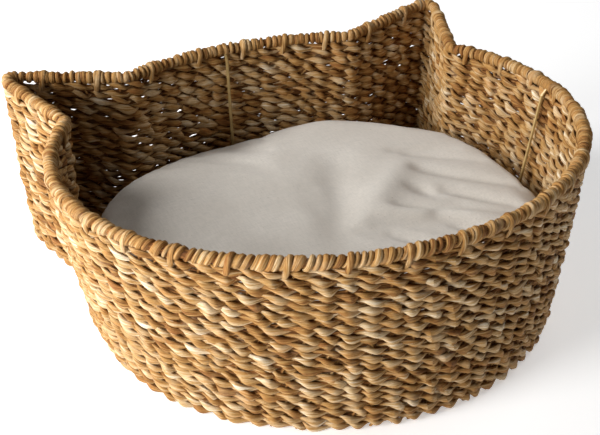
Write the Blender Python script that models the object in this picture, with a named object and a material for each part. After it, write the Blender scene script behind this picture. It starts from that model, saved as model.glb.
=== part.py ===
"""Wicker pet bed basket with two cat ears, and the loose cushion that lies in it.

A wire frame (two hoops, four uprights, two wires under the cushion) carries stakes, which strands of
grass are woven round in pairs. In the wall and in the floor a pair is drawn here as two skins, one on
each side of the stakes. Metres, +Z up, ears towards +Y; the origin is on the floor.
"""

import math

import bmesh
import bpy
from mathutils import Vector

GAP = 0.0003                    # clearance between pieces that touch

# Outline of the wall's middle, at the rim and at the floor
RIM_HALF_WIDTH, RIM_HALF_DEPTH, RIM_SHIFT = 0.250, 0.215, 0.0
FLOOR_HALF_WIDTH, FLOOR_HALF_DEPTH, FLOOR_SHIFT = 0.217, 0.208, -0.007
RIM_CHEEK, FLOOR_CHEEK = 1.0, 0.36    # 1 is a true oval, less runs straighter back to the ear
RIM_EAR_CORNER, FLOOR_EAR_CORNER = (0.2448, 0.2295), (0.2300, 0.2160)
RIM_EAR_INNER, FLOOR_EAR_INNER = (0.124, 0.193), (0.118, 0.180)
RIM_FOREHEAD, FLOOR_FOREHEAD = 0.217, 0.201
EAR_START_ANGLE = math.radians(34.0)
EAR_TIP_RADIUS = 0.009
BACK_WIRE_X = -0.010
WALL_BULGE = 1.24               # 1 is a straight flare from floor to rim

# Heights
RIM_HEIGHT = 0.172
EAR_RISE = 0.007
WALL_TOP = 0.161
WALL_LEVELS = (0.046, 0.085, 0.124)     # where the wall's facets bend between foot and top
FOOT_CHAMFER_HEIGHT = 0.008
FOOT_CHAMFER = 0.0018
STAKE_FOOT = 0.008
STAKE_BORDER_LOW, STAKE_BORDER_HIGH = 0.1625, 0.1655

# Thicknesses
SKIN = 0.003                    # one strand's share of the wall
STAKE = 0.0030
STAKE_SPACE = STAKE + 2 * 0.0006
RIM_WRAP_RADIUS = 0.0055
RIM_BORE_RADIUS = 0.0035
TOP_HOOP_RADIUS = 0.0025
WIRE_RADIUS = 0.00165
TUBE_SIDES = 6

# Lashings over the rim
LASHING_WIDTH = 0.0045
LASHING_THICKNESS = 0.0012
LASHING_CLEARANCE = 0.0006
LASHING_FOOT_CLEARANCE = 0.0014
LASHING_FOOT = 0.156

# Floor
FLOOR_STAKES = 44
FLOOR_HUB_RADIUS = 0.030
FLOOR_EDGE = SKIN + STAKE_SPACE / 2 + 0.0004

# Cushion
CUSHION_HALF_WIDTH, CUSHION_HALF_DEPTH = 0.210, 0.182
CUSHION_MIDDLE_Y = -0.007
CUSHION_TOP = 0.118
CUSHION_SEAM = 0.070
COVER = 0.0012
CUSHION_SIDES = 28

# Each stretch of the outline: its name, its facets, its lashings
STRETCHES = [
    ("right_cheek", 4, 3), ("right_ear_outer", 3, 2), ("right_ear_inner", 3, 2),
    ("forehead_right", 3, 3), ("forehead_left", 3, 2), ("left_ear_inner", 3, 2),
    ("left_ear_outer", 3, 2), ("left_cheek", 4, 3), ("front_left", 9, 8), ("front_right", 9, 8)]


def material(name, colour, roughness, metallic=0.0):
    mat = bpy.data.materials.new(name)
    mat.use_nodes = True
    shader = mat.node_tree.nodes["Principled BSDF"]
    shader.inputs["Base Color"].default_value = (*colour, 1.0)
    shader.inputs["Roughness"].default_value = roughness
    shader.inputs["Metallic"].default_value = metallic
    mat.diffuse_color = (*colour, 1.0)
    return mat


def add_object(name, bm, mat, smooth=False):
    bmesh.ops.recalc_face_normals(bm, faces=bm.faces)
    mesh = bpy.data.meshes.new(name)
    bm.to_mesh(mesh)
    bm.free()
    mesh.materials.append(mat)
    if smooth:
        mesh.shade_smooth()
        mesh.set_sharp_from_angle(angle=math.radians(40))
    obj = bpy.data.objects.new(name, mesh)
    bpy.context.collection.objects.link(obj)
    return obj


def mix(a, b, share):
    return a + (b - a) * share


def mix_point(a, b, share):
    return Vector(a).lerp(Vector(b), share)


class Outline:
    """The wall's middle line seen from above, `spread` of the way from the floor's to the rim's."""

    def __init__(self, spread):
        self.half_width = mix(FLOOR_HALF_WIDTH, RIM_HALF_WIDTH, spread)
        self.half_depth = mix(FLOOR_HALF_DEPTH, RIM_HALF_DEPTH, spread)
        self.shift = mix(FLOOR_SHIFT, RIM_SHIFT, spread)
        self.cheek = mix(FLOOR_CHEEK, RIM_CHEEK, spread)
        self.ear = mix_point(FLOOR_EAR_CORNER, RIM_EAR_CORNER, spread)
        self.ear_inner = mix_point(FLOOR_EAR_INNER, RIM_EAR_INNER, spread)
        self.forehead = mix(FLOOR_FOREHEAD, RIM_FOREHEAD, spread)
        self.points, self.rises, self.starts = [], [], {}
        for name, facets, _ in STRETCHES:
            self.starts[name] = len(self.points)
            for k in range(facets):
                self.points.append(self.at(name, k / facets))
                self.rises.append(self.rise(name, k / facets))
            if name in ("right_ear_outer", "left_ear_inner"):
                self.round_ear(name)
        self.count = len(self.points)
        self.normals = [self.mitre(i) for i in range(self.count)]

    def ellipse(self, angle):
        """A point on the oval, whose cheeks, between its widest place and the ears, are straighter."""
        across, along = math.cos(angle), math.sin(angle)
        if along > 0.0:
            across = math.copysign(abs(across) ** self.cheek, across)
        return Vector((self.half_width * across, self.shift + self.half_depth * along))

    def brow(self, x):
        """The shallow curve between the ears."""
        drop = (x / self.ear_inner.x) ** 2
        return Vector((x, mix(self.forehead, self.ear_inner.y, drop)))

    def at(self, name, share):
        """A point on a stretch; the outline runs anticlockwise from +X."""
        ear, inner = self.ear, self.ear_inner
        left_ear, left_inner = Vector((-ear.x, ear.y)), Vector((-inner.x, inner.y))
        start = EAR_START_ANGLE
        if name == "right_cheek":
            return self.ellipse(start * share)
        if name == "right_ear_outer":
            return self.ellipse(start).lerp(self.tip_arc(0), share)
        if name == "right_ear_inner":
            return self.tip_arc(3).lerp(inner, share)
        if name == "forehead_right":
            return self.brow(mix(inner.x, BACK_WIRE_X, share))
        if name == "forehead_left":
            return self.brow(mix(BACK_WIRE_X, -inner.x, share))
        if name == "left_ear_inner":
            return left_inner.lerp(self.mirrored_tip_arc(3), share)
        if name == "left_ear_outer":
            return self.mirrored_tip_arc(0).lerp(self.ellipse(math.pi - start), share)
        if name == "left_cheek":
            return self.ellipse(mix(math.pi - start, math.pi, share))
        if name == "front_left":
            return self.ellipse(mix(math.pi, 1.5 * math.pi, share))
        return self.ellipse(mix(1.5 * math.pi, 2 * math.pi, share))

    def tip_arc(self, step):
        """Four points, 0 to 3, on the small arc that rounds the right ear's corner."""
        along_in = (self.ear - self.ellipse(EAR_START_ANGLE)).normalized()
        along_out = (self.ear_inner - self.ear).normalized()
        turn = math.acos(along_in.dot(along_out))
        start = self.ear - along_in * EAR_TIP_RADIUS * math.tan(turn / 2)
        left = Vector((-along_in.y, along_in.x))
        angle = turn * step / 3
        return start + EAR_TIP_RADIUS * (along_in * math.sin(angle) + left * (1 - math.cos(angle)))

    def mirrored_tip_arc(self, step):
        point = self.tip_arc(step)
        return Vector((-point.x, point.y))

    def round_ear(self, name):
        if name == "right_ear_outer":
            arc = [self.tip_arc(step) for step in range(3)]
        else:
            arc = [self.mirrored_tip_arc(step) for step in (3, 2, 1)]
        self.points += arc
        self.rises += [1.0] * len(arc)

    def rise(self, name, share):
        """How much of the ear's rise a point has: none at the notches, all at the tip."""
        if name in ("right_ear_outer", "left_ear_inner"):
            return share
        if name in ("right_ear_inner", "left_ear_outer"):
            return 1.0 - share
        return 0.0

    def mitre(self, i):
        """Outward normal at a corner, lengthened so that an offset keeps its width."""
        before = (self.points[i] - self.points[i - 1]).normalized()
        after = (self.points[(i + 1) % self.count] - self.points[i]).normalized()
        a, b = Vector((before.y, -before.x)), Vector((after.y, -after.x))
        both = (a + b).normalized()
        return both / both.dot(a)


def spread_at(height_share):
    return 1.0 - (1.0 - height_share) ** WALL_BULGE


class WallLevel:
    """The wall at one share of its height."""

    def __init__(self, share):
        self.outline = Outline(spread_at(share))
        self.share = share

    def point(self, i, offset):
        flat = self.outline.points[i] + self.outline.normals[i] * offset
        top = RIM_HEIGHT + EAR_RISE * self.outline.rises[i]
        return Vector((flat.x, flat.y, top * self.share))

    def between(self, i, share, offset):
        """A point part of the way along the facet that starts at corner i."""
        return self.point(i, offset).lerp(self.point((i + 1) % self.outline.count, offset), share)


def bridge_rings(bm, rings, loop):
    """Quads between neighbouring rings of vertices; with `loop`, from the last to the first too."""
    pairs = list(zip(rings, rings[1:]))
    if loop:
        pairs.append((rings[-1], rings[0]))
    for one, two in pairs:
        for k in range(len(one)):
            n = (k + 1) % len(one)
            bm.faces.new((one[k], one[n], two[n], two[k]))


def sweep(bm, sections, loop=False):
    """A solid through sections; a loop closes on itself, and an open sweep gets two end faces."""
    rings = [[bm.verts.new(p) for p in section] for section in sections]
    bridge_rings(bm, rings, loop)
    if not loop:
        bm.faces.new(list(reversed(rings[0])))
        bm.faces.new(rings[-1])


def sweep_sleeve(bm, outer, inner):
    """A tube with an open bore."""
    outside = [[bm.verts.new(p) for p in section] for section in outer]
    inside = [[bm.verts.new(p) for p in section] for section in inner]
    bridge_rings(bm, outside, False)
    bridge_rings(bm, inside, False)
    bridge_rings(bm, [outside[0], inside[0]], False)
    bridge_rings(bm, [outside[-1], inside[-1]], False)


def circle_section(centre, sideways, up, radius):
    turn = 2 * math.pi / TUBE_SIDES
    return [centre + radius * (math.cos(turn * k) * sideways + math.sin(turn * k) * up)
            for k in range(TUBE_SIDES)]


def straight_wire(bm, points, radius):
    """A wire through a few points, with a square end at each."""
    sections = []
    for i, point in enumerate(points):
        along = (points[min(i + 1, len(points) - 1)] - points[max(i - 1, 0)]).normalized()
        sideways = along.orthogonal().normalized()
        if sections:
            sideways = (last_side - along * last_side.dot(along)).normalized()
        last_side = sideways
        sections.append(circle_section(point, sideways, along.cross(sideways), radius))
    sweep(bm, sections)


def add_skin(name, inner_offset, outer_offset, chamfer, heights, mat):
    """One side of the wall's weave, as a thin closed band; `chamfer` narrows its foot from outside."""
    levels = [WallLevel(height / RIM_HEIGHT) for height in heights]
    sections = []
    for i in range(levels[0].outline.count):
        foot = levels[0].point(i, outer_offset - chamfer)
        outer = [level.point(i, outer_offset) for level in levels[1:]]
        inner = [level.point(i, inner_offset) for level in reversed(levels)]
        sections.append([foot] + outer + inner)
    bm = bmesh.new()
    sweep(bm, sections, loop=True)
    return add_object(name, bm, mat)


def add_wall_stakes(mat):
    """Upright stakes, two to a facet, between the skins. Their tops are turned over and laid along
    the rim as a flat border, which makes them one comb-shaped body."""
    border = [WallLevel(height / RIM_HEIGHT) for height in (STAKE_BORDER_LOW, STAKE_BORDER_HIGH)]
    lower = [WallLevel(height / RIM_HEIGHT) for height in (*reversed(WALL_LEVELS), STAKE_FOOT)]
    outline = border[0].outline
    places, tooth_starts = [], []
    for i in range(outline.count):
        length = (outline.points[(i + 1) % outline.count] - outline.points[i]).length
        places.append((i, 0.0))
        if length < 4 * STAKE:
            continue
        for middle in (0.25, 0.75):
            tooth_starts.append(len(places))
            half = STAKE / 2 / length
            places += [(i, middle - half), (i, middle + half)]
    bm = bmesh.new()
    rings = []
    for i, share in places:
        section = [border[0].between(i, share, -STAKE / 2), border[0].between(i, share, STAKE / 2),
                   border[1].between(i, share, STAKE / 2), border[1].between(i, share, -STAKE / 2)]
        rings.append([bm.verts.new(p) for p in section])
    bridge_rings(bm, rings, True)
    for k in tooth_starts:
        one, two = rings[k], rings[k + 1]
        bm.faces.remove(bm.faces.get((one[0], one[1], two[1], two[0])))
        above = [one[0], one[1], two[1], two[0]]
        (i, low_share), (_, high_share) = places[k], places[k + 1]
        for level in lower:
            corners = [level.between(i, low_share, -STAKE / 2), level.between(i, low_share, STAKE / 2),
                       level.between(i, high_share, STAKE / 2), level.between(i, high_share, -STAKE / 2)]
            below = [bm.verts.new(p) for p in corners]
            bridge_rings(bm, [above, below], False)
            above = below
        bm.faces.new(above)
    return add_object("wall_stakes", bm, mat)


def rim_section(level, i, share, radius):
    """A ring round the rim's middle line."""
    centre = level.between(i, share, 0.0)
    sideways = level.between(i, share, 1.0) - centre
    return circle_section(centre, sideways, Vector((0, 0, 1)), radius)


def add_rim_wrap(name, first, last, mat):
    """The strand wound round the hoop, from one upright to the next, as a sleeve."""
    level = WallLevel(1.0)
    count = level.outline.count
    stop = WIRE_RADIUS + 2 * GAP
    ends = []
    for i in (first, (last - 1) % count):
        ends.append(stop / (level.between(i, 1.0, 0) - level.between(i, 0.0, 0)).length)
    places = [(first, ends[0])]
    places += [(i % count, 0.0) for i in range(first + 1, last if last > first else last + count)]
    places.append(((last - 1) % count, 1.0 - ends[1]))
    outer = [rim_section(level, i, share, RIM_WRAP_RADIUS) for i, share in places]
    inner = [rim_section(level, i, share, RIM_BORE_RADIUS) for i, share in places]
    bm = bmesh.new()
    sweep_sleeve(bm, outer, inner)
    return add_object(name, bm, mat, smooth=True)


def add_hoop(name, level, offset, lift, radius, mat):
    """A closed ring of wire that follows the outline."""
    sections = []
    for i in range(level.outline.count):
        centre = level.point(i, offset)
        if lift is not None:
            centre.z = lift
        sideways = level.outline.normals[i].to_3d()
        sections.append(circle_section(centre, sideways, Vector((0, 0, 1)), radius))
    bm = bmesh.new()
    sweep(bm, sections, loop=True)
    return add_object(name, bm, mat, smooth=True)


def lashing_sections(i, share):
    """Cross-sections of one stitch, from its outer foot over the rim to its inner foot."""
    rim, foot = WallLevel(1.0), WallLevel(LASHING_FOOT / RIM_HEIGHT)
    along = (rim.between(i, share + 0.1, 0) - rim.between(i, share - 0.1, 0)).normalized()
    half = along * LASHING_WIDTH / 2
    centre = rim.between(i, share, 0.0)
    outward = rim.between(i, share, 1.0) - centre
    low = RIM_WRAP_RADIUS + LASHING_CLEARANCE
    high = low + LASHING_THICKNESS
    wall = SKIN + STAKE_SPACE / 2 + LASHING_FOOT_CLEARANCE
    pairs = [(foot.between(i, share, wall), foot.between(i, share, wall + LASHING_THICKNESS))]
    for angle in (0, 55, 125, 180):
        turn = math.radians(angle)
        ray = outward * math.cos(turn) + Vector((0, 0, math.sin(turn)))
        pairs.append((centre + ray * low / math.cos(math.radians(30)), centre + ray * high / math.cos(
            math.radians(30))))
    pairs.append((foot.between(i, share, -wall), foot.between(i, share, -wall - LASHING_THICKNESS)))
    return [[a - half, b - half, b + half, a + half] for a, b in pairs]


def add_lashings(mat):
    outline = Outline(1.0)
    number = 0
    for name, facets, stitches in STRETCHES:
        for k in range(stitches):
            number += 1
            place = (k + 0.5) / stitches * facets
            start = outline.starts[name]
            bm = bmesh.new()
            sweep(bm, lashing_sections(start + int(place), place - int(place)))
            add_object(f"rim_lashing_{number:02d}", bm, mat)


def floor_outline(offset):
    outline = Outline(0.0)
    return [p + n * offset for p, n in zip(outline.points, outline.normals)]


def add_floor_disc(name, low, high, offset, mat):
    """One side of the floor's weave."""
    edge = floor_outline(offset)
    bm = bmesh.new()
    sweep(bm, [[Vector((p.x, p.y, z)) for p in edge] for z in (low, high)])
    return add_object(name, bm, mat)


def ray_to_outline(centre, ray, points):
    """Distance from the centre along a ray to a closed outline."""
    for k, a in enumerate(points):
        edge = points[(k + 1) % len(points)] - a
        area = ray.cross(edge)
        if abs(area) < 1e-9:
            continue
        distance = (a - centre).cross(edge) / area
        share = (a - centre).cross(ray) / area
        if distance > 0 and 0 <= share <= 1:
            return distance
    return 0.0


def add_floor_stakes(low, mat):
    """Stakes that cross in the middle of the floor, where they are drawn as one round hub, and fan
    out to the wall."""
    centre = Vector((0.0, FLOOR_SHIFT))
    edge = floor_outline(-FLOOR_EDGE - STAKE)
    bm = bmesh.new()
    hub_low, hub_high = [], []
    for k in range(FLOOR_STAKES):
        angle = 2 * math.pi * (k + 0.5) / FLOOR_STAKES
        ray = Vector((math.cos(angle), math.sin(angle)))
        side = Vector((-ray.y, ray.x)) * STAKE / 2
        sections = []
        for distance in (FLOOR_HUB_RADIUS, ray_to_outline(centre, ray, edge)):
            p = centre + ray * distance
            corners = [(p - side, low), (p + side, low), (p + side, low + STAKE), (p - side, low + STAKE)]
            sections.append([bm.verts.new((*flat, height)) for flat, height in corners])
        bridge_rings(bm, sections, False)
        bm.faces.new(sections[1])
        hub_low += sections[0][:2]
        hub_high += [sections[0][3], sections[0][2]]
    bm.faces.new(hub_low)
    bm.faces.new(hub_high)
    for k in range(1, len(hub_low), 2):
        n = (k + 1) % len(hub_low)
        bm.faces.new((hub_low[k], hub_low[n], hub_high[n], hub_high[k]))
    return add_object("floor_stakes", bm, mat)


def add_upright(name, i, hoop_offset, hoop_height, mat):
    """A straight wire inside the wall; its top bends out under the rim's hoop."""
    foot = WallLevel(0.0).point(i, hoop_offset)
    foot.z = hoop_height + WIRE_RADIUS + GAP
    bend = WallLevel(0.945).point(i, hoop_offset)
    reach = (TOP_HOOP_RADIUS + WIRE_RADIUS + 2 * GAP) * math.sqrt(0.5)
    top = WallLevel(1.0).point(i, -reach)
    top.z -= reach
    bm = bmesh.new()
    straight_wire(bm, [foot, bend, top], WIRE_RADIUS)
    return add_object(name, bm, mat, smooth=True)


def cushion_ring(width, depth, height):
    ring = []
    for k in range(CUSHION_SIDES):
        angle = 2 * math.pi * k / CUSHION_SIDES
        ring.append(Vector((width * math.cos(angle), CUSHION_MIDDLE_Y + depth * math.sin(angle), height)))
    return ring


def cushion_profile(bottom, inset, upper):
    """Rings of half the cushion, from its seam to its crown or to its flat underside."""
    rings = []
    span = CUSHION_TOP - CUSHION_SEAM if upper else CUSHION_SEAM - bottom
    middle = CUSHION_SEAM + (GAP if upper else -GAP) / 2
    for step in (0.0, 0.3, 0.55, 0.8, 1.0):
        turn = step * math.pi / 2
        shrink = math.cos(turn) ** 0.75 if upper else mix(1.0, math.cos(turn) ** 0.5, 0.35)
        lift = (span - GAP / 2 - inset) * math.sin(turn)
        height = middle + lift if upper else middle - lift
        if step == 1.0:
            shrink = 0.25 if upper else 0.6
        rings.append(cushion_ring((CUSHION_HALF_WIDTH - inset) * shrink,
                                  (CUSHION_HALF_DEPTH - inset) * shrink, height))
    return rings


def add_cover(name, bottom, upper, mat):
    """One panel of the cover: a bowl as thick as the cloth, open at the seam."""
    outside = cushion_profile(bottom, 0.0, upper)
    inside = cushion_profile(bottom, COVER, upper)
    bm = bmesh.new()
    sweep(bm, list(reversed(inside)) + outside)
    return add_object(name, bm, mat, smooth=True)


def add_filling(bottom, mat):
    inset = COVER + GAP
    upper = cushion_profile(bottom, inset, True)
    lower = cushion_profile(bottom, inset, False)
    bm = bmesh.new()
    sweep(bm, list(reversed(lower)) + upper[1:])
    return add_object("cushion_filling", bm, mat, smooth=True)


def main():
    for obj in list(bpy.data.objects):
        bpy.data.objects.remove(obj, do_unlink=True)

    weave = material("seagrass", (0.50, 0.33, 0.16), 0.75)
    weave_inner = material("seagrass_inner", (0.40, 0.25, 0.12), 0.78)
    stake_mat = material("stake_grass", (0.44, 0.30, 0.15), 0.8)
    wrap = material("rim_grass", (0.60, 0.42, 0.22), 0.7)
    wire = material("lacquered_wire", (0.36, 0.25, 0.11), 0.35, 0.8)
    cotton = material("cotton", (0.52, 0.48, 0.43), 0.9)
    fibre = material("fibre_filling", (0.85, 0.85, 0.83), 0.95)

    inner_face = STAKE_SPACE / 2
    heights = (FOOT_CHAMFER_HEIGHT, *WALL_LEVELS, WALL_TOP)
    add_skin("wall_weave_outer", inner_face, inner_face + SKIN, FOOT_CHAMFER, (0.0, *heights), weave)
    add_skin("wall_weave_inner", -inner_face - SKIN, -inner_face, 0.0, (0.0, *heights), weave_inner)
    add_wall_stakes(stake_mat)

    add_floor_disc("floor_weave_lower", 0.0, SKIN, -FLOOR_EDGE, weave)
    add_floor_stakes(SKIN + GAP, stake_mat)
    floor_top = 2 * SKIN + STAKE + 2 * GAP
    add_floor_disc("floor_weave_upper", floor_top - SKIN, floor_top, -FLOOR_EDGE, weave_inner)

    rim = WallLevel(1.0)
    add_hoop("top_hoop", rim, 0.0, None, TOP_HOOP_RADIUS, wire)
    starts = rim.outline.starts
    right, back = starts["right_cheek"], starts["forehead_left"]
    left, front = starts["front_left"], starts["front_right"]
    add_rim_wrap("rim_wrap_back_right", right, back, wrap)
    add_rim_wrap("rim_wrap_back_left", back, left, wrap)
    add_rim_wrap("rim_wrap_front_left", left, front, wrap)
    add_rim_wrap("rim_wrap_front_right", front, right, wrap)
    add_lashings(wrap)

    hoop_offset = -(inner_face + SKIN + WIRE_RADIUS + 2 * GAP)
    hoop_height = floor_top + GAP + WIRE_RADIUS
    add_hoop("base_hoop", WallLevel(0.0), hoop_offset, hoop_height, WIRE_RADIUS, wire)
    for name, i in (("right", right), ("back", back), ("left", left), ("front", front)):
        add_upright("upright_" + name, i, hoop_offset, hoop_height, wire)

    floor_level = WallLevel(0.0)
    reach = hoop_offset - WIRE_RADIUS - GAP
    ends = [floor_level.point(i, reach) for i in (left, right)]
    for end in ends:
        end.z = hoop_height
    bm = bmesh.new()
    straight_wire(bm, ends, WIRE_RADIUS)
    add_object("floor_wire_across", bm, wire, smooth=True)

    wire_height = hoop_height + 2 * WIRE_RADIUS + GAP
    ends = [floor_level.point(i, reach) for i in (front, back)]
    for end in ends:
        end.z = wire_height
    bm = bmesh.new()
    straight_wire(bm, ends, WIRE_RADIUS)
    add_object("floor_wire_lengthwise", bm, wire, smooth=True)

    cushion_bottom = wire_height + WIRE_RADIUS + GAP
    add_cover("cushion_cover_top", cushion_bottom, True, cotton)
    add_cover("cushion_cover_bottom", cushion_bottom, False, cotton)
    add_filling(cushion_bottom, fibre)


main()
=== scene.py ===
# %% [markdown]
# # A wicker pet bed basket
# The object is a cat-head bed: strands of dry seagrass are twined in pairs round upright stakes,
# over a thin wire frame. The rim is wound with the same grass, and a cotton cushion lies inside.
# The CAD model already holds every size and every moving part. This lesson only makes it look right,
# so it starts from that model and never moves it.

# %% Load the frame
import math

import bpy
import numpy as np
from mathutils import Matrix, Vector


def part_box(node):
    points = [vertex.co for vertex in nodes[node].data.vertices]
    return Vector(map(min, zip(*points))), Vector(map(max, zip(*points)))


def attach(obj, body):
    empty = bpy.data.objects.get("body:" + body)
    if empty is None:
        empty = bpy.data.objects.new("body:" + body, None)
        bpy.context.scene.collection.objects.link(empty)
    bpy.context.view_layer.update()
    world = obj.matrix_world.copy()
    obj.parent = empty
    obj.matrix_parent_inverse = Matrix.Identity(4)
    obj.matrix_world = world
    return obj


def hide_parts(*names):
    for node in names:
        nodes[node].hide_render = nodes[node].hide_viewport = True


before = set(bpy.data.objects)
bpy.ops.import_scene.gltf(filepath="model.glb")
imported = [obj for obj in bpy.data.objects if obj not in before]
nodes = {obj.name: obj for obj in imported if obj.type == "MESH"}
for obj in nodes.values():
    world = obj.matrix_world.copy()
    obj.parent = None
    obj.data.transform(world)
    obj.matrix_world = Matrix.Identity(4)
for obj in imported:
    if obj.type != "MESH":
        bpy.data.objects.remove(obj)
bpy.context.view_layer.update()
print("CAD nodes:", len(nodes))

# %% [markdown]
# ## The outline of the wall
# Every row of weave, every turn of the rim and every stake follows one outline seen from above: an
# oval, with two straight-sided ears at the back. The rim's outline is wider than the floor's, so a
# row in between uses a mixture of the two. The wire hoops in the CAD model give both outlines their
# size: the top hoop runs along the rim, and the base hoop runs just inside the floor's edge.

# %% Driving sizes
hoop_low, hoop_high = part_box("top_hoop")
RIM_HEIGHT = 0.172  # middle of the rim's hoop, away from the ears
EAR_RISE = 0.007
HALF_WIDTH = {"rim": 0.250, "floor": 0.217}
HALF_DEPTH = {"rim": 0.215, "floor": 0.208}
SHIFT = {"rim": 0.0, "floor": -0.007}
CHEEK = {"rim": 1.0, "floor": 0.36}  # 1 is a true oval, less runs straighter back to the ear
EAR = {"rim": (0.2448, 0.2295), "floor": (0.2300, 0.2160)}  # the corner at an ear's tip
EAR_INNER = {"rim": (0.124, 0.193), "floor": (0.118, 0.180)}  # where an ear meets the forehead
FOREHEAD = {"rim": 0.217, "floor": 0.201}
EAR_START = math.radians(34.0)  # how far round the oval the ear begins
TIP_RADIUS = 0.009
BULGE = 1.24  # 1 flares evenly, more bulges low down
STAKES = 88
SAMPLES = 1760  # points round an outline, 20 for each stake
print("rim hoop spans", round(hoop_high[0] - hoop_low[0], 4), "m")


# %% Points round the outline
OVAL_POINTS, SIDE_POINTS, TIP_POINTS, INNER_POINTS, BROW_POINTS = 600, 100, 24, 120, 140


def mixed(sizes, spread):
    """A size between the floor's (spread 0) and the rim's (spread 1)."""
    low, high = np.array(sizes["floor"], float), np.array(sizes["rim"], float)
    return low + (high - low) * spread


def line(a, b, count):
    share = np.linspace(0.0, 1.0, count, endpoint=False)[:, None]
    return np.array(a) + (np.array(b) - np.array(a)) * share


def right_half(spread):
    """The outline from the chin, round the right side, to the middle of the forehead."""
    width, depth = mixed(HALF_WIDTH, spread), mixed(HALF_DEPTH, spread)
    shift, ear = mixed(SHIFT, spread), mixed(EAR, spread)
    inner, forehead = mixed(EAR_INNER, spread), mixed(FOREHEAD, spread)
    angle = np.linspace(-math.pi / 2, EAR_START, OVAL_POINTS, endpoint=False)
    power = np.where(angle > 0.0, mixed(CHEEK, spread), 1.0)
    oval = np.stack([width * np.cos(angle) ** power, shift + depth * np.sin(angle)], 1)
    across = math.cos(EAR_START) ** mixed(CHEEK, spread)
    notch = np.array([width * across, shift + depth * math.sin(EAR_START)])
    into = (ear - notch) / np.linalg.norm(ear - notch)
    away = (inner - ear) / np.linalg.norm(inner - ear)
    turn = math.acos(into @ away)
    start = ear - into * TIP_RADIUS * math.tan(turn / 2)
    left = np.array([-into[1], into[0]])
    bend = np.linspace(0.0, turn, TIP_POINTS, endpoint=False)[:, None]
    tip = start + TIP_RADIUS * (into * np.sin(bend) + left * (1 - np.cos(bend)))
    end = start + TIP_RADIUS * (into * math.sin(turn) + left * (1 - math.cos(turn)))
    x = np.linspace(inner[0], 0.0, BROW_POINTS, endpoint=False)
    brow = np.stack([x, forehead + (inner[1] - forehead) * (x / inner[0]) ** 2], 1)
    pieces = [oval, line(notch, start, SIDE_POINTS), tip, line(end, inner, INNER_POINTS), brow]
    climb = [np.zeros(OVAL_POINTS), np.linspace(0, 1, SIDE_POINTS), np.ones(TIP_POINTS),
             np.linspace(1, 0, INNER_POINTS), np.zeros(BROW_POINTS)]
    return np.concatenate(pieces), np.concatenate(climb)


def whole(spread):
    """Both halves of the outline, and how far up its ear each point is, from 0 to 1."""
    half, climb = right_half(spread)
    mirrored = half[:0:-1] * (-1, 1)
    forehead = np.array([[0.0, mixed(FOREHEAD, spread)]])
    points = np.concatenate([half, forehead, mirrored])
    return points, np.concatenate([climb, [0.0], climb[:0:-1]])


rim_points, _ = whole(1.0)
steps = np.linalg.norm(np.roll(rim_points, -1, 0) - rim_points, axis=1)
rim_length = steps.sum()
place = np.concatenate([[0.0], np.cumsum(steps)[:-1]]) / rim_length * STAKES
print("rim length", round(rim_length, 3), "m, stake pitch", round(rim_length / STAKES * 1000, 2), "mm")


# %% A smooth outline at any height
def softened(values, width):
    """A rolling mean that goes round the closed outline, so that its corners are turned gently."""
    kernel = np.hanning(width + 2)[1:-1]
    kernel /= kernel.sum()
    padded = np.concatenate([values[-width:], values, values[:width]])
    return np.stack([np.convolve(column, kernel, "same") for column in padded.T], 1)[width:-width]


even = np.arange(SAMPLES) / SAMPLES * STAKES


class Outline:
    """Evenly numbered points, outward normals and the ear's climb; `at` reads them between."""

    def __init__(self, spread, soften=21):
        points, climb = whole(spread)
        table = np.concatenate([points, climb[:, None]], 1)
        table = np.stack([np.interp(even, place, column, period=STAKES) for column in table.T], 1)
        table = softened(table, soften)
        along = np.roll(table[:, :2], -1, 0) - np.roll(table[:, :2], 1, 0)
        along /= np.linalg.norm(along, axis=1)[:, None]
        normal = np.stack([along[:, 1], -along[:, 0]], 1)
        self.table = np.concatenate([table, normal], 1)

    def at(self, stake):
        columns = [np.interp(stake, even, column, period=STAKES) for column in self.table.T]
        return np.stack(columns[:2], 1), columns[2], np.stack(columns[3:], 1)


def on_wall(stake, out, height):
    """Points on the wall: `stake` counts stakes along it, `out` and `height` are in metres."""
    share = np.clip(height / RIM_HEIGHT, 0.0, 1.0)
    spread = 1.0 - (1.0 - share) ** BULGE
    flat_low, climb, normal_low = FLOOR_LINE.at(stake)
    flat_high, _, normal_high = RIM_LINE.at(stake)
    flat = flat_low + (flat_high - flat_low) * spread[:, None]
    normal = normal_low + (normal_high - normal_low) * spread[:, None]
    flat = flat + normal * out[:, None]
    top = 1.0 + climb * EAR_RISE / RIM_HEIGHT
    return np.stack([flat[:, 0], flat[:, 1], height * top], 1)


FLOOR_LINE, RIM_LINE = Outline(0.0, soften=15), Outline(1.0)
chin_and_side = on_wall(np.array([0.0, 22.0]), np.zeros(2), np.array([RIM_HEIGHT, RIM_HEIGHT]))
print("rim at stakes 0 and 22:", chin_and_side.round(3).tolist())

# %% [markdown]
# ## Writing materials as sums
# Grass, cotton and lacquer are all procedural. Written node by node they would be long, so a small
# class wraps a socket and turns +, - and * into Math nodes. Colours never pass through a Math node,
# because that would turn them grey: they are mixed instead.

# %% A graph that can be written as sums
class Value:
    """A number that varies over a surface."""

    def __init__(self, graph, socket):
        self.graph, self.socket = graph, socket

    def maths(self, operation, *others):
        return self.graph.add("ShaderNodeMath", {"operation": operation}, self, *others)

    def __add__(self, other):
        return self.maths("ADD", other)

    def __sub__(self, other):
        return self.maths("SUBTRACT", other)

    def __mul__(self, other):
        return self.maths("MULTIPLY", other)

    def __rsub__(self, other):
        return (self * -1.0) + other

    __radd__, __rmul__ = __add__, __mul__

    def clamped(self):
        return self.maths("MAXIMUM", 0.0).maths("MINIMUM", 1.0)


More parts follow.
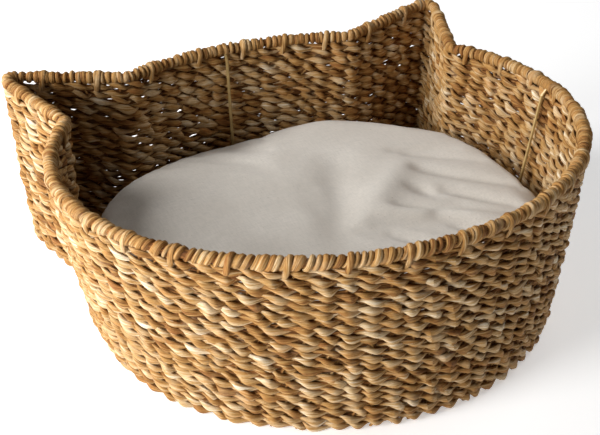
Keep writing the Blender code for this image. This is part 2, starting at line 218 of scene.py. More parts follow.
class Graph:
    """A material's nodes; `shader` is its Principled BSDF."""

    def __init__(self, name):
        self.material = bpy.data.materials.new(name)
        self.material.use_nodes = True
        self.tree = self.material.node_tree
        self.shader = self.tree.nodes["Principled BSDF"]

    def connect(self, socket, value):
        if isinstance(value, Value):
            self.tree.links.new(value.socket, socket)
        elif value is not None:
            socket.default_value = value

    def add(self, kind, settings=None, *inputs, out=0, **named):
        node = self.tree.nodes.new(kind)
        for key, value in (settings or {}).items():
            if key == "stops":
                self.set_stops(node.color_ramp, value)
            else:
                setattr(node, key, value)
        for socket, value in zip(node.inputs, inputs):
            self.connect(socket, value)
        for key, value in named.items():
            self.connect(node.inputs[key.replace("_", " ")], value)
        return Value(self, node.outputs[out])

    def set_stops(self, ramp, stops):
        while len(ramp.elements) < len(stops):
            ramp.elements.new(1.0)
        for element, (position, colour) in zip(ramp.elements, stops):
            element.position = position
            element.color = (*colour, 1.0)

    def ramp(self, value, stops):
        return self.add("ShaderNodeValToRGB", {"stops": stops}, value)

    def blend(self, factor, a, b, blend_type="MIX"):
        node = self.tree.nodes.new("ShaderNodeMix")
        node.data_type, node.blend_type = "RGBA", blend_type
        for index, value in ((0, factor), (6, a), (7, b)):
            if isinstance(value, tuple):
                value = (*value, 1.0)
            self.connect(node.inputs[index], value)
        return Value(self, node.outputs[2])

    def noise(self, vector, scale, detail=2.0, roughness=0.5):
        return self.add("ShaderNodeTexNoise", {"noise_dimensions": "3D"}, Vector=vector, Scale=scale,
                        Detail=detail, Roughness=roughness)

    def attribute(self, name, out=2):
        return self.add("ShaderNodeAttribute", {"attribute_name": name}, out=out)

    def object_place(self):
        return self.add("ShaderNodeTexCoord", out=3)

    def bump(self, height, strength, distance):
        return self.add("ShaderNodeBump", None, Height=height, Strength=strength, Distance=distance)

    def finish(self, **sockets):
        for key, value in sockets.items():
            self.connect(self.shader.inputs[key.replace("_", " ")], value)
        return self.material


# %% [markdown]
# ## Dry seagrass
# A strand is a bundle of long leaves, twisted together. Seen close it has fine lines along it, and
# each leaf dries to its own colour: pale straw, gold, or a reddish brown. Every strand piece carries
# two attributes for this. `grain` runs slowly along the strand and quickly round it, so a noise read
# from it stretches into fibres. `tone` says how dark that stretch of leaf is.

# %% The grass material
STRAW_STOPS = [(0.0, (0.060, 0.020, 0.006)), (0.25, (0.19, 0.076, 0.019)), (0.5, (0.41, 0.222, 0.068)),
               (0.75, (0.60, 0.435, 0.245)), (1.0, (0.85, 0.76, 0.60))]
REDDISH_LEAF = (0.50, 0.20, 0.055)
GREY_LEAF = (0.52, 0.44, 0.30)
STREAKS_SHOW, FIBRES_SHOW, BLOTCHES_SHOW = 0.75, 1.05, 0.35  # how much each noise shifts the tone
RELIEF = 0.0016  # depth of the lines, in metres


def grass_material(name, lighter=0.0, roughness=0.55):
    g = Graph(name)
    grain, tone = g.attribute("grain", out=1), g.attribute("tone")
    fibres = g.noise(grain, 3.8, detail=3.0, roughness=0.6)
    streaks = g.noise(grain, 1.7, detail=2.0)
    blotches = g.noise(g.object_place(), 55.0, detail=2.0)
    shade = tone + (streaks - 0.5) * STREAKS_SHOW + (fibres - 0.5) * FIBRES_SHOW
    shade = shade + (blotches - 0.5) * BLOTCHES_SHOW + lighter
    colour = g.ramp(shade.clamped(), STRAW_STOPS)
    redder = g.noise(grain, 0.6, detail=1.0)
    reddened = g.blend((redder - 0.5).clamped(), colour, REDDISH_LEAF)
    greyer = g.blend(((blotches - 0.55) * 1.2).clamped(), reddened, GREY_LEAF)
    normal = g.bump(fibres * 0.75 + streaks * 0.25, 1.0, RELIEF)
    return g.finish(Base_Color=greyer, Roughness=(fibres * -0.25 + roughness + 0.12).clamped(),
                    Normal=normal, Specular_IOR_Level=0.12)


grass = grass_material("seagrass")
stake_grass = grass_material("stake_seagrass", lighter=-0.12, roughness=0.7)
rim_grass = grass_material("rim_seagrass", lighter=-0.10, roughness=0.5)
print("grass materials:", grass.name, stake_grass.name, rim_grass.name)

# %% [markdown]
# ## Lacquered wire
# The frame is steel wire under a thin brown-gold lacquer. It is smooth and slightly glossy, with
# faint duller patches where hands and grass rub on it.

# %% The wire material
LACQUER_STOPS = [(0.3, (0.30, 0.19, 0.065)), (0.7, (0.50, 0.35, 0.14))]


def wire_material():
    g = Graph("brown_lacquered_wire")
    worn = g.noise(g.object_place(), 90.0, detail=3.0)
    colour = g.ramp(worn, LACQUER_STOPS)
    return g.finish(Base_Color=colour, Metallic=0.25, Roughness=worn * 0.25 + 0.28,
                    Coat_Weight=0.25, Coat_Roughness=0.25)


wire = wire_material()
for name in ("top_hoop", "base_hoop", "floor_wire_across", "floor_wire_lengthwise", "upright_left",
             "upright_right", "upright_front", "upright_back"):
    nodes[name].data.materials.clear()
    nodes[name].data.materials.append(wire)
print("wires painted")

# %% [markdown]
# ## One strand of twining
# Twining takes two strands. At every stake one passes outside and the other inside, and between two
# stakes they cross, always turning the same way, like a rope with the stakes caught in it. So one
# strand is a wave that repeats every two stakes: out and thick at one stake, in at the next, and
# pinched where it crosses. The wave is modelled once, by extruding a ring, and an Array makes it as
# long as the wall.

# %% Helpers for modelling by hand
PITCH = rim_length / STAKES
ROWS = 21
FIRST_ROW_FOOT = 0.0012
LAST_ROW_TOP = 0.1665
ROW_PITCH = (LAST_ROW_TOP - FIRST_ROW_FOOT) / ROWS
OUT = 0.0031  # how far a strand passes outside the stakes
SLANT = 0.0024  # how far it climbs or falls from the row's middle where it crosses
TALL, PINCHED = 0.0041, 0.0016  # half a strand's height on a stake, and where two cross
THICK, THIN = 0.0023, 0.0017  # half its thickness in the same two places
BELLY = 0.08  # the thickest place lies a little past the stake
SHOULDER = 1.25  # 1 swells like a wave, more swells later
SIDES = 8
STEPS = 8  # rings for each stake
WELD = 0.00001  # copies this close become one


def deselect():
    bpy.ops.object.select_all(action="DESELECT")


def only(obj):
    deselect()
    obj.select_set(True)
    bpy.context.view_layer.objects.active = obj


def edit_all():
    bpy.ops.object.mode_set(mode="EDIT")
    bpy.ops.mesh.select_all(action="SELECT")


def leave_edit():
    """Back to object mode, with the object's place put into its mesh."""
    bpy.ops.object.mode_set(mode="OBJECT")
    bpy.ops.object.transform_apply(location=True, rotation=True, scale=True)


def strand_middle(stakes):
    """Where a strand's middle line lies: out from the wall, and up."""
    return OUT * np.cos(np.pi * stakes), -SLANT * np.sin(np.pi * stakes)


def strand_size(stakes):
    """Half its height and half its thickness: plump on a stake's face, thin where it crosses."""
    face = np.abs(np.cos(np.pi * (stakes - BELLY))) ** SHOULDER
    return PINCHED + (TALL - PINCHED) * face, THIN + (THICK - THIN) * face


# %% Extrude one wave and repeat it
def wave(name, periods):
    deselect()
    tall, thick = strand_size(np.array([0.0]))
    out, up = strand_middle(np.array([0.0]))
    bpy.ops.mesh.primitive_circle_add(vertices=SIDES, radius=1.0, location=(0.0, out[0], up[0]),
                                      rotation=(0.0, math.pi / 2, 0.0))
    obj = bpy.context.object
    obj.name = name
    edit_all()
    bpy.ops.transform.resize(value=(1.0, thick[0], tall[0]), center_override=(0.0, out[0], up[0]))
    for step in range(1, 2 * STEPS + 1):
        stakes = np.array([(step - 1) / STEPS, step / STEPS])
        x, (out, up), (tall, thick) = stakes * PITCH, strand_middle(stakes), strand_size(stakes)
        move = (x[1] - x[0], out[1] - out[0], up[1] - up[0])
        bpy.ops.mesh.extrude_region_move(TRANSFORM_OT_translate={"value": move})
        bpy.ops.transform.resize(value=(1.0, thick[1] / thick[0], tall[1] / tall[0]),
                                 center_override=(x[1], out[1], up[1]))
    leave_edit()
    repeat = obj.modifiers.new("repeat", "ARRAY")
    repeat.count = periods
    repeat.use_relative_offset = False
    repeat.use_constant_offset = True
    repeat.constant_offset_displace = (2 * PITCH, 0.0, 0.0)
    repeat.use_merge_vertices = True
    repeat.merge_threshold = WELD
    bpy.ops.object.modifier_apply(modifier=repeat.name)
    return obj


straight = wave("straight_strand", STAKES // 2)
print("one straight strand:", len(straight.data.vertices), "vertices,",
      round(straight.dimensions.x, 3), "m long")


# %% Read the strand as numbers
def vertices_of(mesh):
    flat = np.empty(len(mesh.vertices) * 3)
    mesh.vertices.foreach_get("co", flat)
    return flat.reshape(-1, 3)


def quads_of(mesh):
    flat = np.empty(len(mesh.polygons) * 4, int)
    mesh.polygons.foreach_get("vertices", flat)
    return flat.reshape(-1, 4)


def numbers_of(obj):
    """The object's points and faces as arrays; the object itself goes."""
    points, quads = vertices_of(obj.data), quads_of(obj.data)
    bpy.data.objects.remove(obj, do_unlink=True)
    return points, quads


strand_points, strand_quads = numbers_of(straight)
strand_stake = strand_points[:, 0] / PITCH
middle_out, middle_up = strand_middle(strand_stake)
around_out, around_up = strand_points[:, 1] - middle_out, strand_points[:, 2] - middle_up
half_tall, half_thick = strand_size(strand_stake)
strand_angle = np.arctan2(around_out / half_thick, around_up / half_tall)
print("strand as numbers:", len(strand_points), "points,", len(strand_quads), "faces")

# %% [markdown]
# ## Laying the rows
# Real rows are never even. Each strand is thicker on one stake and thinner on the next, it wanders
# up and down by about half a millimetre, and each visible oval is a different bit of leaf. So each
# row is the same straight strand twice, laid along the wall with small random changes of its own,
# which must join up again after all the stakes.

# %% Random changes that close up round the wall
rng = np.random.default_rng(11)


def eased(values, place, sharp=0.0):
    """Reads `values`, set at whole numbers of `place` all the way round, eased between them.

    `sharp` makes the change between two of them quicker."""
    low = np.floor(place).astype(int)
    part = np.clip((place - low - sharp) / (1.0 - 2.0 * sharp), 0.0, 1.0)
    part = part * part * (3.0 - 2.0 * part)
    return values[low % len(values)] * (1.0 - part) + values[(low + 1) % len(values)] * part


def closed_up(place, last):
    """The last place round is the first one again."""
    return np.where(np.isclose(place, last), 0.0, place)


def random_round(stakes, spread, sharp=0.0, knots=STAKES):
    """Random values at `knots` even places round the wall."""
    values = rng.normal(0.0, spread, knots).clip(-2.2 * spread, 2.2 * spread)
    return eased(values, stakes * knots / STAKES, sharp)


# %% [markdown]
# ## No stake stands straight
# Pulled tight, each row pushes the stakes sideways by its own amount, and many rows are pushed back
# by the next one, so that the ovals of two rows often lie like bricks. Each row therefore gets its
# own random lean at every stake, and a small zigzag from one row to the next.

# %% Lean the stakes
SWAY_LEVELS = ROWS + 1
SWAY, MOST_SWAY = 0.14, 0.28  # in stakes
ZIGZAG = 0.10  # half of the step from one row to the next
sway_table = rng.normal(0.0, SWAY, (SWAY_LEVELS, STAKES)).clip(-MOST_SWAY, MOST_SWAY)


def sway(stake, height):
    """How far a stake leans sideways at a height, counted in stakes."""
    zigzag = ZIGZAG * np.sin(np.pi * (height - FIRST_ROW_FOOT) / ROW_PITCH)
    level = np.clip(height / RIM_HEIGHT, 0.0, 0.999) * (SWAY_LEVELS - 1)
    under, left = np.floor(level).astype(int), np.floor(stake).astype(int)
    up, along = level - under, stake - left
    lower, upper = (sway_table[row, left % STAKES] * (1 - along)
                    + sway_table[row, (left + 1) % STAKES] * along for row in (under, under + 1))
    return lower * (1 - up) + upper * up + zigzag


print("most lean:", round(float(np.abs(sway_table).max() + ZIGZAG) * PITCH * 1000, 1), "mm")

# %% Helpers for strands
GRAIN_RUN = 14.0  # how far the grain runs in a metre of strand
STRAND_TWIST = 70.0  # radians of twist in a metre
MERGE = 0.000002


def grain_of(along, twist):
    """The grain: slowly along the strand, quickly round it."""
    return np.stack([along, np.cos(twist), np.sin(twist)], 1)


def set_look(mesh, grain, tone, material):
    layer = mesh.attributes.new("grain", "FLOAT_VECTOR", "POINT")
    layer.data.foreach_set("vector", grain.ravel())
    layer = mesh.attributes.new("tone", "FLOAT", "POINT")
    layer.data.foreach_set("value", tone)
    mesh.materials.append(material)


def joined(name, parts, quads, material):
    """One object from several strands, each given as its points, its grain and its tone."""
    count = len(parts[0][0])
    faces = np.concatenate([quads + k * count for k in range(len(parts))])
    points, grain, tone = (np.concatenate(columns) for columns in zip(*parts))
    mesh = bpy.data.meshes.new(name)
    mesh.from_pydata(points.tolist(), [], faces.tolist())
    set_look(mesh, grain, tone, material)
    obj = bpy.data.objects.new(name, mesh)
    bpy.context.collection.objects.link(obj)
    only(obj)
    edit_all()
    bpy.ops.mesh.remove_doubles(threshold=MERGE)
    bpy.ops.mesh.normals_make_consistent(inside=False)
    bpy.ops.object.mode_set(mode="OBJECT")
    bpy.ops.object.shade_smooth()
    return obj


# %% Lay one strand of one row
KNOTS = 22  # slow changes have this many round the wall
RIBS, RIB_TWIST = 0.13, 140.0  # depth and twist of the ridges that single leaves make
TUCK = 0.0016  # the lowest row turns in under the wall
LOWEST, FLATTENED, FLAT_ABOVE = 0.0004, 0.08, 0.004  # and is pressed flat where it stands
LEAF_TONE = 0.53


def laid_strand(row, second):
    """Points of one strand, with its grain and tone."""
    here = (closed_up(strand_stake, STAKES) + (1.0 if second else 0.0)) % STAKES
    taller = 1.0 + random_round(here, 0.10)
    fatter = 1.0 + random_round(here, 0.14)
    steeper = 1.0 + random_round(here, 0.22)
    wander = random_round(here, 0.0005) + random_round(here, 0.0006, knots=KNOTS)
    stick_out = random_round(here, 0.0005)
    slide = random_round(here, 0.10)
    length = strand_points[:, 0]
    leaf_turn = rng.uniform(0, 2 * math.pi)
    ribbed = 1.0 + RIBS * np.cos(2.0 * strand_angle + length * RIB_TWIST + leaf_turn)
    out = middle_out + around_out * fatter * ribbed + stick_out
    up = middle_up * steeper + around_up * taller * ribbed + wander
    middle = np.full(len(here), FIRST_ROW_FOOT + (row + 0.5) * ROW_PITCH)
    height = middle + up
    if row == 0:
        out = out - TUCK
        height = np.maximum(height, LOWEST + FLATTENED * (height + FLAT_ABOVE))
    points = on_wall((here + slide + sway(here, middle)) % STAKES, out, height)
    grain = grain_of(length * GRAIN_RUN + rng.uniform(0, 50), strand_angle + length * STRAND_TWIST)
    tone = LEAF_TONE + random_round(here, 0.09, sharp=0.3)
    tone = tone + random_round(here, 0.06, sharp=0.4, knots=KNOTS)
    return points, grain, tone


bands = [range(0, 5), range(5, 10), range(10, 15), range(15, ROWS)]
for number, rows in enumerate(bands, 1):
    parts = [laid_strand(row, second) for row in rows for second in (False, True)]
    band = joined(f"wall_rows_{number}", parts, strand_quads, grass)
    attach(band, "basket")
    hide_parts("wall_weave_outer", "wall_weave_inner")
    print(band.name, len(band.data.polygons), "quads")

# %% [markdown]
# ## The stakes
# The stakes are twisted grass cord, thinner than the strands. They show as short uprights in the
# small gaps between rows, mostly on the inside. One is modelled by hand as a tall thin tube, and a
# copy stands at every stake place, bent to the wall's flare.

# %% Stand the stakes
STAKE_RADIUS = 0.0017
STAKE_FOOT, STAKE_TOP = 0.002, RIM_HEIGHT - 0.004
STAKE_TWIST = 160.0


def straight_tube(name, radius, length, sides, rings):
    """An open tube along X, extruded ring by ring."""
    deselect()
    bpy.ops.mesh.primitive_circle_add(vertices=sides, radius=radius, rotation=(0.0, math.pi / 2, 0.0))
    obj = bpy.context.object
    obj.name = name
    edit_all()
    for _ in range(rings):
        move = (length / rings, 0.0, 0.0)
        bpy.ops.mesh.extrude_region_move(TRANSFORM_OT_translate={"value": move})
    leave_edit()
    return numbers_of(obj)


def tube_angle(points):
    """How far round a tube along X each of its points lies."""
    return np.arctan2(points[:, 1], points[:, 2])


tube_points, tube_quads = straight_tube("stake", STAKE_RADIUS, STAKE_TOP - STAKE_FOOT, 5, 4 * ROWS)


def standing_stake(number):
    height = tube_points[:, 0] + STAKE_FOOT
    stake = number + tube_points[:, 1] / PITCH + sway(np.full(len(height), float(number)), height)
    points = on_wall(stake % STAKES, tube_points[:, 2] + rng.normal(0, 0.0002), height)
    grain = grain_of(height * GRAIN_RUN + number * 3.1, tube_angle(tube_points) + height * STAKE_TWIST)
    return points, grain, np.full(len(points), 0.45 + rng.normal(0, 0.08))


stakes = joined("stakes", [standing_stake(k) for k in range(STAKES)], tube_quads, stake_grass)
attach(stakes, "basket")
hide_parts("wall_stakes")
print("stakes:", STAKES, "and", len(stakes.data.polygons), "quads")

# %% [markdown]
# ## Dark cords in the shaded gaps
# Where two strands cross they leave a small hole, deep in the wall and in shade. Thin cords shut most
# of these holes, so little light comes through, and their dark colour is painted shade: one cord in
# the middle of each row, and one between each two rows.

# %% Lay the dark cords, painted shade in the gaps
GAP_CORD_RADIUS = 0.00125
GAP_CORD_TALLER = 1.4
# Painted shade: the dark tone of the cords in the wall's gaps and of the rim's core between its turns.
GAP_SHADE_TONE = 0.30
gap_cord_points, gap_cord_quads = straight_tube("pack", GAP_CORD_RADIUS, 1.0, 4, 3 * STAKES)


def shaded_gap_cord(row):
    """A thin uneven cord in the middle of the wall, `row` rows above the first one's middle."""
    stake = closed_up(gap_cord_points[:, 0], 1.0) * STAKES
    thin = 1.0 + random_round(stake, 0.25)
    height = FIRST_ROW_FOOT + (row + 0.5) * ROW_PITCH + gap_cord_points[:, 2] * thin * GAP_CORD_TALLER
    height = height + random_round(stake, 0.0006)
    points = on_wall((stake + sway(stake, height)) % STAKES, gap_cord_points[:, 1] * thin, height)
    # the cord's dark tone is painted shade in the gap
    return points, grain_of(stake * 0.3 + row, tube_angle(gap_cord_points)), np.full(len(points), GAP_SHADE_TONE)


cords = [shaded_gap_cord(half / 2) for half in range(2, 2 * ROWS - 1)]
shaded_gap_cords = joined("shaded_gap_cord", cords, gap_cord_quads, stake_grass)
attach(shaded_gap_cords, "basket")
print("packed fibre:", len(shaded_gap_cords.data.polygons), "quads")

# %% [markdown]
# ## Loose fibres
# Torn leaf edges stand off the outside here and there. Particle hair would not become a mesh that
# can be kept, so each fibre is a hair-thin tube that tapers and curls away from the wall.

# %% Lay the loose fibres
HAIRS = 260
HAIR_RADIUS = 0.00022
HAIR_START = 0.0042  # how far out from the wall's middle a fibre begins
hair_points, hair_quads = straight_tube("hair", 1.0, 1.0, 3, 5)


def loose_fibre():
    stake, row = rng.uniform(0, STAKES), rng.uniform(0.5, ROWS)
    share = hair_points[:, 0]
    length, rise, curl = rng.uniform(0.006, 0.018), rng.normal(0, 0.003), rng.uniform(0.0005, 0.0040)
    radius = HAIR_RADIUS * (1.05 - share)
    out = HAIR_START + curl * share ** 2 + hair_points[:, 1] * radius
    height = FIRST_ROW_FOOT + row * ROW_PITCH + rise * share + hair_points[:, 2] * radius
    points = on_wall((stake + share * length / PITCH) % STAKES, out, height)
    grain = np.stack([share + row, share, share], 1)
    return points, grain, np.full(len(points), 0.75)


hairs = joined("loose_fibres", [loose_fibre() for _ in range(HAIRS)], hair_quads, grass)
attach(hairs, "basket")
print("loose fibres:", HAIRS)

# %% [markdown]
# ## The wound rim
# A flat strand is wound tightly round the top hoop and the ends of the stakes. A Screw modifier turns
# a small oval round an axis into a long coil, and the coil is then laid along the rim. Its turns are
# about six millimetres apart, some wide and plump, some thin.

# %% Wind the coil
TURNS = 284
TURN_PITCH = rim_length / TURNS
COIL_STEPS = 12
COIL_SIDES = 8
COIL_RADIUS = 0.0038
COIL_HALF_WIDTH, COIL_HALF_THICKNESS = 0.0032, 0.0027
COIL_LEAN = 0.0013  # extra slant on the outer face
RIM_TWIST = 60.0
RIM_TONE = 0.55


def coil():
    deselect()
    bpy.ops.mesh.primitive_circle_add(vertices=COIL_SIDES, radius=1.0, location=(0.0, COIL_RADIUS, 0.0))
    obj = bpy.context.object
    obj.scale = (COIL_HALF_WIDTH, COIL_HALF_THICKNESS, 1.0)
    bpy.ops.object.transform_apply(location=True, rotation=True, scale=True)
    screw = obj.modifiers.new("wind", "SCREW")
    screw.axis = "X"
    screw.angle = 2 * math.pi
    screw.screw_offset = TURN_PITCH
    screw.iterations = TURNS
    screw.steps = screw.render_steps = COIL_STEPS
    bpy.ops.object.modifier_apply(modifier=screw.name)
    return numbers_of(obj)


coil_points, coil_quads = coil()
coil_turn = np.arange(len(coil_points)) // COIL_SIDES / COIL_STEPS
coil_angle = np.arctan2(coil_points[:, 2], coil_points[:, 1])
coil_out = np.hypot(coil_points[:, 1], coil_points[:, 2])
print("coil:", len(coil_points), "points,", round(TURN_PITCH * 1000, 2), "mm from turn to turn")


# %% Lay it on the rim
def on_rim(stake, out, up):
    """Points round the hoop's middle line: `out` from the basket and `up`, in metres."""
    flat, climb, normal = RIM_LINE.at(stake % STAKES)
    flat = flat + normal * out[:, None]
    return np.stack([flat[:, 0], flat[:, 1], RIM_HEIGHT + climb * EAR_RISE + up], 1)


def random_turn(turn, spread):
    """A random value for each turn of the coil, eased between turns."""
    return eased(rng.normal(0.0, spread, TURNS).clip(-2 * spread, 2 * spread), turn)


def wound_rim():
    closed = coil_turn % TURNS
    middle = coil_turn * TURN_PITCH
    across = coil_points[:, 0] - middle
    wide = 1.0 + random_turn(closed, 0.22)
    plump = 1.0 + random_turn(closed, 0.16)
    drift = random_turn(closed, 0.0012) + COIL_LEAN * np.sin(coil_angle)
    radius = COIL_RADIUS + (coil_out - COIL_RADIUS) * plump + random_turn(closed, 0.0004)
    stake = (middle % rim_length + across * wide + drift) / PITCH
    points = on_rim(stake, radius * np.cos(coil_angle), radius * np.sin(coil_angle))
    round_strand = np.arctan2(coil_out - COIL_RADIUS, across * COIL_HALF_THICKNESS / COIL_HALF_WIDTH)
    length = coil_turn * 2 * math.pi * COIL_RADIUS
    grain = grain_of(length * GRAIN_RUN, round_strand + length * RIM_TWIST)
    return points, grain, RIM_TONE + random_turn(closed, 0.07)


rim_coil = joined("rim_winding", [wound_rim()], coil_quads, rim_grass)
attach(rim_coil, "basket")
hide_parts("rim_wrap_back_right", "rim_wrap_back_left", "rim_wrap_front_left",
            "rim_wrap_front_right")
print("rim winding:", TURNS, "turns,", len(rim_coil.data.polygons), "quads")

# %% The bundle under the winding
CORE_RADIUS = 0.0041  # the ends of the stakes, turned along the hoop
core_points, core_quads = straight_tube("rim_core", CORE_RADIUS, rim_length, 8, 4 * STAKES)


def rim_core():
    stake = closed_up(core_points[:, 0] / PITCH, STAKES)
    points = on_rim(stake, core_points[:, 1], core_points[:, 2])
    grain = grain_of(core_points[:, 0] * GRAIN_RUN, tube_angle(core_points))
    # the core's dark tone is painted shade, seen deep between the winding's turns
    return points, grain, np.full(len(points), GAP_SHADE_TONE)


core = joined("rim_core", [rim_core()], core_quads, stake_grass)
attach(core, "basket")
print("rim core:", len(core.data.polygons), "quads")

# %% [markdown]
# ## The stitches over the rim
# Every few centimetres a longer stitch goes over the rim and down into the weave, and ties the
# winding to the top row. It is one short strand, bent over the rim like a staple. A curve could
# follow it too, but a straight tube laid along a worked-out path gives its tapered ends as well.

# %% Bend one stitch and place one at each CAD lashing
STITCH_HALF_WIDTH, STITCH_HALF_THICKNESS = 0.0028, 0.0017
STITCH_RADIUS = 0.0058
STITCH_LEG = 0.0128
STITCH_LEAN = 0.008  # how far along the rim its two ends are apart
STITCH_TUCK = 0.0022  # how far an end turns in
LEAN_BELOW, LEAN = 0.004, 0.12  # the legs follow the wall inwards, below the rim
STITCH_LENGTH = math.pi * STITCH_RADIUS + 2 * STITCH_LEG
stitch_points, stitch_quads = straight_tube("stitch", 1.0, 1.0, 8, 20)


def stitch_path(length):
    """Out and up of the stitch's middle, and the direction that faces away from the rim."""
    arc = np.clip(length - STITCH_LEG, 0.0, math.pi * STITCH_RADIUS) / STITCH_RADIUS
    first = np.minimum(length - STITCH_LEG, 0.0)
    last = np.maximum(length - STITCH_LENGTH + STITCH_LEG, 0.0)
    face_out, face_up = np.cos(arc), np.sin(arc)
    tuck = STITCH_TUCK * ((np.abs(first) + last) / STITCH_LEG) ** 2
    out = STITCH_RADIUS * face_out - np.sign(face_out) * tuck
    return out, STITCH_RADIUS * face_up + first - last, face_out, face_up


def stitch(number):
    low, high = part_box(f"rim_lashing_{number:02d}")
    middle = np.array([(low[0] + high[0]) / 2, (low[1] + high[1]) / 2])
    stake = even[np.argmin(np.linalg.norm(RIM_LINE.table[:, :2] - middle, axis=1))]
    share = stitch_points[:, 0]
    length = share * STITCH_LENGTH
    out, up, face_out, face_up = stitch_path(length)
    slim = np.clip(0.75 + np.minimum(share, 1 - share) * 3.0, 0, 1)
    rise = stitch_points[:, 2] * STITCH_HALF_THICKNESS * slim
    across = stitch_points[:, 1] * STITCH_HALF_WIDTH * slim + (share - 0.5) * STITCH_LEAN
    out, up = out + rise * face_out, up + rise * face_up
    points = on_rim(stake + across / PITCH, out - np.clip(-up - LEAN_BELOW, 0.0, None) * LEAN, up)
    grain = grain_of(length * GRAIN_RUN + number * 5.0, tube_angle(stitch_points) + length * RIM_TWIST)
    tone = np.full(len(points), 0.6 + rng.normal(0, 0.06))
    obj = joined(f"rim_stitch_{number:02d}", [(points, grain, tone)], stitch_quads, rim_grass)
    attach(obj, "basket")
    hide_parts(f"rim_lashing_{number:02d}")


lashings = [name for name in nodes if name.startswith("rim_lashing_")]
for number in range(1, len(lashings) + 1):
    stitch(number)
print("stitches:", len(lashings))

# %% [markdown]
# ## The floor
# The floor is twined like the wall, in rounds that grow from the middle to the floor's edge. The
# stakes fan out from the middle, and new ones are added as the rounds grow, so the outer rounds have
# more of them. Each round is a pair of strands like the wall's, laid flat, with its outward side up.

# %% Where a round lies
_, floor_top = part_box("floor_weave_upper")
FLOOR_MIDDLE = np.array([0.0, SHIFT["floor"]])
FLOOR_HEIGHT = floor_top[2] / 2
FLOOR_ROUNDS = 25
FLOOR_OUT = 0.0023  # how far a strand passes above and below the stakes
FLOOR_THICK = 0.0020
EDGE_SHARE = 0.985  # the last round ends just inside the wall
FLOOR_TONE = 0.46
print("floor weave fills z 0 to", round(floor_top[2], 4))


def on_floor(stake, share, up):
    """Points on the floor: `share` of the way from its middle to its edge, `up` in metres."""
    flat, _, _ = FLOOR_LINE.at(stake % STAKES)
    flat = FLOOR_MIDDLE + (flat - FLOOR_MIDDLE) * share[:, None]
    return np.stack([flat[:, 0], flat[:, 1], FLOOR_HEIGHT + up], 1)


# %% Twine the rounds
def flat_strand(number, stakes_here, second, points, angle):
    """One strand of one floor round with `stakes_here` stakes."""
    place = points[:, 0] / PITCH
    wide = STAKES / stakes_here
    here = (closed_up(place, stakes_here) + (1.0 if second else 0.0)) * wide % STAKES
    middle_up, middle_in = strand_middle(place)
    tall, thick = strand_size(place)
    round_share = (number + 0.5) / FLOOR_ROUNDS
    sideways = np.cos(angle) * tall * (1.0 + random_round(here, 0.10)) + middle_in
    upward = middle_up * FLOOR_OUT / OUT + np.sin(angle) * FLOOR_THICK * thick / THICK
    share = round_share * EDGE_SHARE + sideways / HALF_DEPTH["floor"] + random_round(here, 0.002)
    laid = on_floor(here + random_round(here, 0.08), share, upward.clip(-FLOOR_HEIGHT, FLOOR_HEIGHT))
    length = place * PITCH * wide * round_share
    grain = grain_of(length * GRAIN_RUN + rng.uniform(0, 50), angle + length * STRAND_TWIST)
    return laid, grain, FLOOR_TONE + random_round(here, 0.15, sharp=0.3)


def floor_part(name, numbers, stakes_here):
    keep = strand_points[:, 0] <= (stakes_here + 0.001) * PITCH
    quads = strand_quads[keep[strand_quads].all(1)]
    points, angle = strand_points[keep], strand_angle[keep]
    quads = np.cumsum(keep)[quads] - 1
    parts = [flat_strand(number, stakes_here, second, points, angle)
             for number in numbers for second in (False, True)]
    obj = joined(name, parts, quads, grass)
    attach(obj, "basket")
    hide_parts("floor_weave_lower", "floor_weave_upper", "floor_stakes")
    print(name, len(obj.data.polygons), "quads")


floor_part("floor_rounds_middle", range(1, 7), 22)
floor_part("floor_rounds_between", range(7, 14), 44)
floor_part("floor_rounds_outer_1", range(14, 19), 88)
floor_part("floor_rounds_outer_2", range(19, FLOOR_ROUNDS), 88)

# %% The floor's stakes and its middle knot
SPOKE_RADIUS = 0.0014
SPOKE_STARTS = {0: 0.02, 2: 0.26}  # one in four starts in the middle, one in four further out
LATE_START, SPOKE_END = 0.55, 0.975  # and the rest further still
spoke_points, spoke_quads = straight_tube("spoke", SPOKE_RADIUS, 1.0, 6, 16)


def spoke(number):
    first = SPOKE_STARTS.get(number % 4, LATE_START)
    share = first + (SPOKE_END - first) * spoke_points[:, 0]
    side = spoke_points[:, 1] / PITCH / np.maximum(share, 0.12)
    points = on_floor(number + side, share, spoke_points[:, 2])
    return points, grain_of(share * 3.0 + number, tube_angle(spoke_points)), np.full(len(points), 0.42)


def floor_knot():
    """A flattened coil of strand that closes the middle."""
    deselect()
    bpy.ops.mesh.primitive_torus_add(major_segments=36, minor_segments=10, major_radius=0.0062,
                                     minor_radius=0.0030, location=(*FLOOR_MIDDLE, FLOOR_HEIGHT))
    knot = bpy.context.object
    knot.name = "floor_knot"
    edit_all()
    bpy.ops.transform.resize(value=(1.0, 1.0, 0.9), center_override=(0.0, 0.0, FLOOR_HEIGHT))
    leave_edit()
    points = vertices_of(knot.data) - (*FLOOR_MIDDLE, FLOOR_HEIGHT)
    around = np.arctan2(points[:, 1], points[:, 0])
    from_middle = np.hypot(points[:, 0], points[:, 1])
    grain = np.stack([np.sin(around), points[:, 2] * 300, from_middle * 300], 1)
    set_look(knot.data, grain, np.full(len(points), 0.5), grass)
    bpy.ops.object.shade_smooth()
    return knot


spokes = joined("floor_spokes", [spoke(k) for k in range(STAKES)], spoke_quads, stake_grass)
knot = floor_knot()
for piece, slot in ((spokes, "stakes"), (knot, "seagrass")):
    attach(piece, "basket")
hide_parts("floor_stakes")
print("floor:", STAKES, "stakes and a knot")

# %% [markdown]
# ## The cushion
# The cushion is one round cotton bag, filled with loose fibre and closed by a seam round its middle. It
# could be modelled by moving points about, but cloth pushed out from inside finds the taut crown, the
# full sides and the soft creases by itself. So a bag that is a little wider and a good deal lower is
# modelled first, with the places of its creases pressed in, and the Cloth modifier then fills it.

